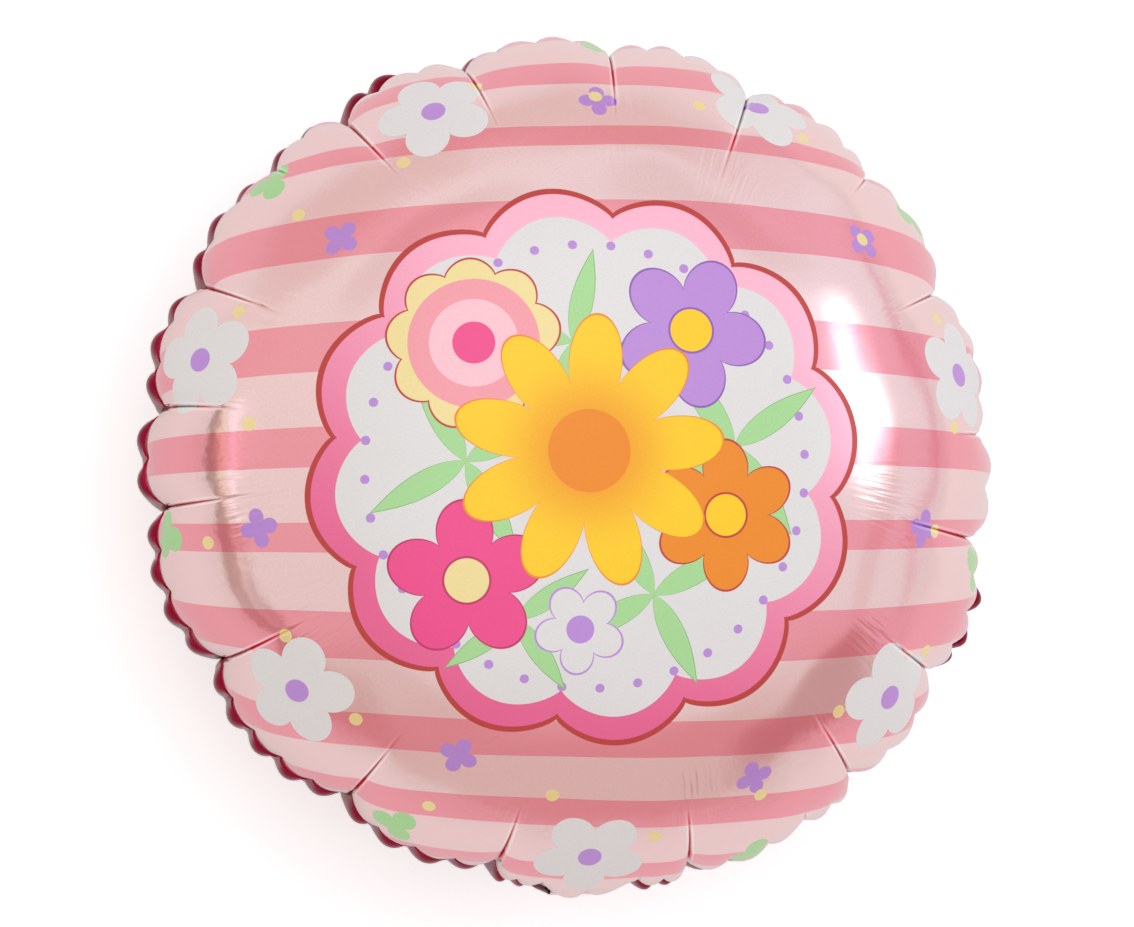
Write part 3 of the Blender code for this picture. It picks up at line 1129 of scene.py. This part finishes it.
def ring_group():
    """A point's place beside the nearest of several equal places round a ring."""
    tree, nodes, given, put = new_group(
        "places_round_ring",
        (("Across", 0.0), ("Up", 0.0), ("Count", 7.0), ("Ring radius", 0.17), ("Stray", 0.0), ("Turn", 0.0)),
        (("Outward", "Float"), ("Sideways", "Float")),
    )
    across, up = given["Across"], given["Up"]
    away = nodes.length(across, up)
    turn = nodes.math("SUBTRACT", nodes.math("ARCTAN2", up, across), given["Turn"])
    pitch = nodes.math("DIVIDE", 2 * math.pi, given["Count"])
    number = nodes.math("ROUND", nodes.math("DIVIDE", turn, pitch))
    beside = nodes.math("SUBTRACT", turn, nodes.math("MULTIPLY", number, pitch))
    strays = nodes.math("SINE", nodes.math("MULTIPLY", number, STRAY_STEP))
    middle = nodes.math("MULTIPLY_ADD", given["Stray"], strays, given["Ring radius"])
    outward = nodes.math("SUBTRACT", nodes.math("MULTIPLY", away, nodes.math("COSINE", beside)), middle)
    nodes.feed(put["Outward"], outward)
    nodes.feed(put["Sideways"], nodes.math("MULTIPLY", away, nodes.math("SINE", beside)))
    return tree


def crinkle_group():
    """A height over the film: fine crinkles all over, a fine grain, and long wrinkles where it gathers."""
    tree, nodes, given, put = new_group(
        "film_crinkle",
        (("Across", 0.0), ("Up", 0.0), ("Crinkle", 0.00012), ("Grain", 0.000004), ("Wrinkle", 0.0)),
        (("Height", "Float"),),
    )
    across, up = given["Across"], given["Up"]
    away = nodes.length(across, up)
    turned = [nodes.math("DIVIDE", value, away) for value in (across, up)]
    place = nodes.vector(across, up)
    from_seam = nodes.vector(*turned, nodes.math("MULTIPLY", away, SEAM_CRINKLE_STRETCH))
    outer = nodes.step(away, SEAM_CRINKLE_START, SEAM_CRINKLE_FULL)
    radial = nodes.math("MULTIPLY", nodes.noise(from_seam, SEAM_CRINKLE, 2.0), outer)
    broad = nodes.noise(place, BROAD_CRINKLE, 1.0)
    crinkle = nodes.math("MULTIPLY_ADD", broad, BROAD_CRINKLE_SHARE, radial)
    crinkle = nodes.math("MULTIPLY", crinkle, given["Crinkle"])
    grain = nodes.math("MULTIPLY", nodes.noise(place, FILM_GRAIN, 1.0), given["Grain"])
    gather = nodes.add("ShaderNodeAttribute", attribute_name="gather").outputs["Fac"]
    lengthwise = nodes.vector(*turned, nodes.math("MULTIPLY", away, GATHER_WRINKLE_STRETCH))
    wrinkle = nodes.math("MULTIPLY", gather, given["Wrinkle"])
    wrinkle = nodes.math("MULTIPLY", wrinkle, nodes.noise(lengthwise, GATHER_WRINKLES, 1.0))
    nodes.feed(put["Height"], nodes.math("ADD", nodes.math("ADD", crinkle, grain), wrinkle))
    return tree


def stripes(nodes, up, light, mid):
    """The striped ground, as a ramp of hard steps over the height on the flat film."""
    low, high = STRIPES[0][0] - STRIPE_MARGIN, STRIPES[-1][1] + STRIPE_MARGIN
    ramp = nodes.add("ShaderNodeValToRGB")
    ramp.color_ramp.interpolation = "CONSTANT"
    span = high - low
    stops = ramp.color_ramp.elements
    stops[0].position = 0.0
    stops[0].color = (0, 0, 0, 1)
    stops.remove(stops[1])
    for bottom, top in STRIPES:
        stops.new((bottom - low) / span).color = (1, 1, 1, 1)
        stops.new((top - low) / span).color = (0, 0, 0, 1)
    place = nodes.math("DIVIDE", nodes.math("SUBTRACT", up, low), span)
    nodes.feed(ramp.inputs["Fac"], place)
    return nodes.blend(ramp.outputs["Color"], light, mid)


class Inks:
    """Lays inks over the striped ground, and keeps how much of the metal they hide."""

    def __init__(self, nodes, look, across, up):
        self.nodes = nodes
        self.look = look
        self.across = across
        self.up = up
        self.petals = petal_group()
        self.ring = ring_group()
        self.colour = stripes(nodes, up, look.light_pink, look.mid_pink)
        self.opaque = 0.0

    def move_to(self, place):
        """Measures what comes next from another middle."""
        self.across = self.nodes.math("SUBTRACT", self.across, place[0])
        self.up = self.nodes.math("SUBTRACT", self.up, place[1])

    def lay(self, mask, ink, cover=1.0):
        """Lays an ink, by its name or as a colour, where the mask is 1."""
        over = getattr(self.look, ink) if isinstance(ink, str) else ink
        self.colour = self.nodes.blend(mask, self.colour, over)
        node = self.nodes.add("ShaderNodeMix")
        for index, value in ((0, mask), (2, self.opaque), (3, cover)):
            self.nodes.feed(node.inputs[index], value)
        self.opaque = node.outputs[0]

    def fill(self, inside, line, ink, cover=1.0):
        """Fills a shape with an ink, up to a line's width inside its edge."""
        self.lay(self.nodes.step(inside, line - EDGE_BLUR, line + EDGE_BLUR), ink, cover)

    def spot(self, way_out, size, share, ink):
        """Lays a round spot over the middle of a flower."""
        blur = EDGE_BLUR / size
        self.lay(self.nodes.step(way_out, share + blur, share - blur), ink)

    def shape(self, across, up, radius, petals, waist, turn, **settings):
        """A petalled shape, as how far inside its edge a point is and its share of the way out."""
        made = self.nodes.group(
            self.petals,
            across=across,
            up=up,
            radius=radius,
            petals=petals,
            waist=waist,
            turn=math.radians(turn),
            **settings,
        )
        return made["Inside"], made["Way out"]

    def ring_of_shapes(self, count, reach, stray, start, size, petals, waist, turn, ink, centre, cover):
        """Lays equal petalled shapes round a ring, with a centre of its own ink if one is named."""
        at = self.nodes.group(
            self.ring,
            across=self.across,
            up=self.up,
            count=count,
            ring_radius=reach,
            stray=stray,
            turn=math.radians(start),
        )
        inside, way_out = self.shape(at["Outward"], at["Sideways"], size, petals, waist, turn)
        self.fill(inside, 0.0, ink, cover)
        if centre:
            blur = RING_CENTRE_BLUR
            self.lay(self.nodes.step(way_out, RING_CENTRE + blur, RING_CENTRE - blur), centre, cover)

    def petalled(self, place, size, petals, waist, turn, ink, outline, pointed=0.0):
        """Lays one petalled shape with an outline, and returns its share of the way out."""
        inside, way_out = self.shape(
            self.across,
            self.up,
            size,
            petals,
            waist,
            turn,
            centre_across=place[0],
            centre_up=place[1],
            pointed=pointed,
        )
        self.fill(inside, 0.0, outline)
        self.fill(inside, FINE_LINE, ink)
        return way_out

    def flower(self, place, size, petals, waist, turn, ink, outline, centre, deep, spots):
        """Lays one flower, with a deeper colour towards its middle, a round centre and spots."""
        way_out = self.petalled(place, size, petals, waist, turn, ink, outline)
        if deep:
            depth = self.nodes.step(way_out, DEEP_START, DEEP_FULL)
            self.lay(self.nodes.math("MULTIPLY", depth, DEEP_SHARE), deep)
        if centre:
            self.spot(way_out, size, FLOWER_CENTRE, outline)
            self.spot(way_out, size, FLOWER_CENTRE - FINE_LINE / size, centre)
        for share, spot_ink in spots:
            self.spot(way_out, size, share, spot_ink)


def medallion(inks, look):
    """The scalloped medallion: its outline, band and white ground, its beads, leaves and flowers."""
    nodes = inks.nodes
    inks.move_to(look.medallion_place)
    inside, _ = inks.shape(
        inks.across, inks.up, look.medallion_radius, MEDALLION_SCALLOPS, MEDALLION_WAIST, MEDALLION_TURN
    )
    slant = nodes.math("MULTIPLY_ADD", inks.across, BAND_SLANT, inks.up)
    band = nodes.blend(nodes.step(slant, BAND_DEEP, BAND_PALE), look.deep_band, look.pale_band)
    inks.fill(inside, 0.0, "dark_red", OUTLINE_COVER)
    inks.fill(inside, look.outline_width, band, BAND_COVER)
    inks.fill(inside, look.outline_width + look.band_width, "white")
    inks.ring_of_shapes(*BEADS)
    for place, size, turn in LEAVES:
        inks.petalled(place, size, LEAF_POINTS, LEAF_WAIST, turn, "mint", "deep_mint", pointed=1.0)
    for flower in FLOWERS:
        inks.flower(*flower)


def print_group(look):
    """The print: its colour, and how much opaque ink hides the metal."""
    tree, nodes, given, put = new_group(
        "balloon_print", (("Across", 0.0), ("Up", 0.0)), (("Colour", "Color"), ("Opaque", "Float"))
    )
    inks = Inks(nodes, look, given["Across"], given["Up"])
    for ring in RING_PRINTS:
        inks.ring_of_shapes(*ring)
    medallion(inks, look)
    nodes.feed(put["Colour"], inks.colour)
    nodes.feed(put["Opaque"], inks.opaque)
    return tree


def flat_place(nodes):
    """The point's place on the flat film, from the UV map."""
    split = nodes.add("ShaderNodeSeparateXYZ")
    nodes.feed(split.inputs[0], nodes.add("ShaderNodeUVMap", uv_map="print").outputs["UV"])
    return split.outputs["X"], split.outputs["Y"]


def film_material(name, crinkle, wrinkle):
    """Makes a film's material with its crinkle: gives its nodes, shader and place on the flat film."""
    made = bpy.data.materials.new(name)
    made.use_nodes = True
    nodes = Nodes(made.node_tree)
    shader = made.node_tree.nodes["Principled BSDF"]
    across, up = flat_place(nodes)
    bump = nodes.add("ShaderNodeBump")
    bump.inputs["Distance"].default_value = 1.0
    height = nodes.group(crinkle, across=across, up=up, wrinkle=wrinkle)["Height"]
    nodes.feed(bump.inputs["Height"], height)
    nodes.feed(shader.inputs["Normal"], bump.outputs["Normal"])
    return nodes, shader, across, up


def with_fold_shade(nodes, colour, strength):
    """A colour darkened by painted shade in the folds, where the film mirrors itself, and lightened by a
    painted gleam beside them.
    """
    # The fold attribute holds painted shade in each fold and a painted gleam beside it
    fold = nodes.add("ShaderNodeAttribute", attribute_name="fold")
    gamma = nodes.add("ShaderNodeGamma")
    nodes.feed(gamma.inputs["Color"], colour)
    shade_gamma = nodes.math("MULTIPLY_ADD", fold.outputs["Fac"], strength, 1.0)
    nodes.feed(gamma.inputs["Gamma"], shade_gamma)
    return gamma.outputs[0]


def printed_film(look, crinkle, wrinkle):
    """Metallised film with translucent pink inks, and opaque white, yellow and other inks over them."""
    nodes, shader, across, up = film_material("striped_foil", crinkle, wrinkle)
    printed = nodes.group(print_group(look), across=across, up=up)
    speck = nodes.noise(nodes.vector(across, up), SPECKS, 2.0)
    tone = nodes.add("ShaderNodeHueSaturation")
    nodes.feed(tone.inputs["Value"], nodes.math("MULTIPLY_ADD", speck, SPECK_CONTRAST, 1.0))
    nodes.feed(tone.inputs["Color"], printed["Colour"])
    cover = printed["Opaque"]
    metallic = nodes.math("MULTIPLY_ADD", cover, INK_METALLIC, BARE_METALLIC)
    roughness = nodes.math("MULTIPLY_ADD", cover, INK_ROUGHNESS, BARE_ROUGHNESS)
    # The print's colour carries painted shade in the folds and a painted gleam beside them
    nodes.feed(shader.inputs["Base Color"], with_fold_shade(nodes, tone.outputs["Color"], FOLD_SHADE_STRENGTH))
    nodes.feed(shader.inputs["Metallic"], metallic)
    nodes.feed(shader.inputs["Roughness"], roughness)
    shader.inputs["Coat Roughness"].default_value = 0.12
    shader.inputs["Coat Weight"].default_value = 0.15


def dark_pink_film(look, crinkle, wrinkle):
    """Mirror-bright film, tinted dark pink."""
    _, shader, _, _ = film_material("dark_pink_foil", crinkle, wrinkle)
    shader.inputs["Base Color"].default_value = (*look.back_pink, 1.0)
    shader.inputs["Metallic"].default_value = 1.0
    shader.inputs["Roughness"].default_value = BACK_ROUGHNESS


def film_materials(scene):
    """The two films' materials, made once."""
    if "striped_foil" not in bpy.data.materials:
        crinkle = crinkle_group()
        wrinkle = scene.foil_shape.wrinkle_height
        printed_film(scene.foil_print, crinkle, wrinkle)
        dark_pink_film(scene.foil_print, crinkle, wrinkle)
    return bpy.data.materials["striped_foil"], bpy.data.materials["dark_pink_foil"]


def aim(obj, place, target):
    """Stands an object at a place with its -Z axis towards a target, and level across."""
    back = (Vector(place) - Vector(target)).normalized()
    right = Vector((0, 1, 0)).cross(back).normalized()
    turn = Matrix((right, back.cross(right), back)).transposed()
    obj.matrix_world = Matrix.Translation(place) @ turn.to_4x4()


def studio_lamps(studio):
    """Soft rectangular lamps, all aimed at the middle of the balloon."""
    for name, setting, place, size, colour in LAMPS:
        lamp = bpy.data.lights.new(name, "AREA")
        lamp.shape = "RECTANGLE"
        lamp.size, lamp.size_y = size
        lamp.energy = getattr(studio, setting)
        lamp.color = colour
        made = bpy.data.objects.new(name, lamp)
        bpy.context.scene.collection.objects.link(made)
        aim(made, place, (0.0, 0.0, SEAM_HEIGHT))


def studio_camera(studio):
    """The camera, at the photograph's angle and distance."""
    lens = bpy.data.cameras.new("camera")
    lens.sensor_fit = "HORIZONTAL"
    lens.sensor_width = SENSOR_WIDTH
    lens.lens = PIXELS_PER_METRE * studio.camera_distance * SENSOR_WIDTH / PICTURE_WIDTH
    made = bpy.data.objects.new("camera", lens)
    bpy.context.scene.collection.objects.link(made)
    turn = (
        Matrix.Rotation(studio.camera_pitch, 3, "X")
        @ Matrix.Rotation(-studio.camera_yaw, 3, "Y")
        @ Matrix.Rotation(studio.camera_roll, 3, "Z")
    )
    place = Vector((CAMERA_AIM, 0.0, SEAM_HEIGHT)) + studio.camera_distance * turn[2]
    made.matrix_world = Matrix.Translation(place) @ turn.transposed().to_4x4()
    bpy.context.scene.camera = made


def studio_sky(strength):
    """Pale light from all round, a little dimmer towards the foot, with darker and lighter arcs."""
    world = bpy.data.worlds.new("studio_sky")
    world.use_nodes = True
    bpy.context.scene.world = world
    nodes = Nodes(world.node_tree)
    background = world.node_tree.nodes["Background"]
    split = nodes.add("ShaderNodeSeparateXYZ")
    nodes.feed(split.inputs[0], nodes.add("ShaderNodeTexCoord").outputs["Generated"])
    across, up, high = split.outputs
    # A little over 1, so that it isn't 0 straight up
    level = nodes.math("SQRT", nodes.math("SUBTRACT", 1.0001, nodes.math("MULTIPLY", high, high)))
    colour = nodes.blend(nodes.step(across, -0.9, 0.9), SKY_LEFT, SKY_RIGHT)
    colour = nodes.blend(nodes.step(up, -1.0, 0.5), SKY_FOOT, colour)
    for middle, half, low, top, soft, over in SKY_ARCS:
        turn = math.radians(middle)
        start, full = (math.cos(math.radians(half * share)) for share in (ARC_START, ARC_FULL))
        facing = nodes.math("MULTIPLY", up, math.sin(turn))
        facing = nodes.math("MULTIPLY_ADD", across, math.cos(turn), facing)
        round_share = nodes.step(nodes.math("DIVIDE", facing, level), start, full)
        above, below = nodes.step(high, low - soft, low), nodes.step(high, top + soft, top)
        height_share = nodes.math("MULTIPLY", above, below)
        colour = nodes.blend(nodes.math("MULTIPLY", round_share, height_share), colour, over)
    seen = nodes.add("ShaderNodeLightPath").outputs["Is Camera Ray"]
    nodes.feed(background.inputs["Color"], nodes.blend(seen, colour, (1.0, 1.0, 1.0)))
    background.inputs["Strength"].default_value = strength


def studio_floor():
    """The white paper that the balloon lies on, which looks white to the camera."""
    mesh = bmesh.new()
    bmesh.ops.create_grid(mesh, x_segments=1, y_segments=1, size=PAPER_HALF)
    data = bpy.data.meshes.new("floor")
    mesh.to_mesh(data)
    mesh.free()
    paper = bpy.data.materials.new("white_paper")
    paper.use_nodes = True
    shader = paper.node_tree.nodes["Principled BSDF"]
    shader.inputs["Base Color"].default_value = (0.91, 0.905, 0.905, 1.0)
    shader.inputs["Roughness"].default_value = 0.9
    shader.inputs["Specular IOR Level"].default_value = 0.1
    shader.inputs["Emission Color"].default_value = (1.0, 1.0, 1.0, 1.0)
    nodes = Nodes(paper.node_tree)
    seen = nodes.add("ShaderNodeLightPath").outputs["Is Camera Ray"]
    nodes.feed(shader.inputs["Emission Strength"], nodes.math("MULTIPLY", seen, PAPER_GLOW))
    data.materials.append(paper)
    made = bpy.data.objects.new("floor", data)
    bpy.context.scene.collection.objects.link(made)


class OBJECT_OT_foil_front(bpy.types.Operator):
    """Model the printed front film"""

    bl_idname = "object.foil_front"
    bl_label = "Front Film"

    def execute(self, context):
        printed, _ = film_materials(context.scene)
        made = film("front_foil", 1, printed, context.scene.foil_shape)
        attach(made, "root")
        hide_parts("front_film")
        return {"FINISHED"}


class OBJECT_OT_foil_back(bpy.types.Operator):
    """Model the plain back film"""

    bl_idname = "object.foil_back"
    bl_label = "Back Film"

    def execute(self, context):
        _, dark = film_materials(context.scene)
        made = film("back_foil", -1, dark, context.scene.foil_shape)
        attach(made, "root")
        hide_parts("back_film")
        return {"FINISHED"}


class OBJECT_OT_foil_edge(bpy.types.Operator):
    """Model the sealed edge between the films"""

    bl_idname = "object.foil_edge"
    bl_label = "Sealed Edge"

    def execute(self, context):
        made = sealed_edge(film_materials(context.scene), context.scene.foil_shape)
        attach(made, "root")
        return {"FINISHED"}


class OBJECT_OT_foil_tail(bpy.types.Operator):
    """Model the inflation tail"""

    bl_idname = "object.foil_tail"
    bl_label = "Inflation Tail"

    def execute(self, context):
        made = inflation_tail(film_materials(context.scene))
        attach(made, "root")
        return {"FINISHED"}


class OBJECT_OT_foil_studio(bpy.types.Operator):
    """Set up the floor, lights, sky and camera"""

    bl_idname = "object.foil_studio"
    bl_label = "Studio"

    def execute(self, context):
        studio = context.scene.foil_studio
        studio_floor()
        studio_sky(studio.sky_strength)
        studio_lamps(studio)
        studio_camera(studio)
        context.scene.view_settings.view_transform = "Standard"
        return {"FINISHED"}


class VIEW3D_PT_foil_balloon(bpy.types.Panel):
    """The balloon's pieces, sizes and colours"""

    bl_label = "Foil Balloon"
    bl_idname = "VIEW3D_PT_foil_balloon"
    bl_space_type = "VIEW_3D"
    bl_region_type = "UI"
    bl_category = "Foil Balloon"

    def draw(self, context):
        column = self.layout.column()
        for operator in OPERATORS:
            column.operator(operator.bl_idname)
        for group in (context.scene.foil_shape, context.scene.foil_print, context.scene.foil_studio):
            for name in group.bl_rna.properties.keys():
                if name not in {"rna_type", "name"}:
                    column.prop(group, name)


OPERATORS = (
    OBJECT_OT_foil_front,
    OBJECT_OT_foil_back,
    OBJECT_OT_foil_edge,
    OBJECT_OT_foil_tail,
    OBJECT_OT_foil_studio,
)
CLASSES = (FoilShape, FoilPrint, FoilStudio, *OPERATORS, VIEW3D_PT_foil_balloon)


def register():
    for made in CLASSES:
        bpy.utils.register_class(made)
    bpy.types.Scene.foil_shape = bpy.props.PointerProperty(type=FoilShape)
    bpy.types.Scene.foil_print = bpy.props.PointerProperty(type=FoilPrint)
    bpy.types.Scene.foil_studio = bpy.props.PointerProperty(type=FoilStudio)


def unregister():
    del bpy.types.Scene.foil_studio
    del bpy.types.Scene.foil_print
    del bpy.types.Scene.foil_shape
    for made in reversed(CLASSES):
        bpy.utils.unregister_class(made)


def main():
    register()
    bpy.ops.object.foil_front()
    bpy.ops.object.foil_back()
    bpy.ops.object.foil_edge()
    bpy.ops.object.foil_tail()
    bpy.ops.object.foil_studio()


if __name__ == "__main__":
    main()
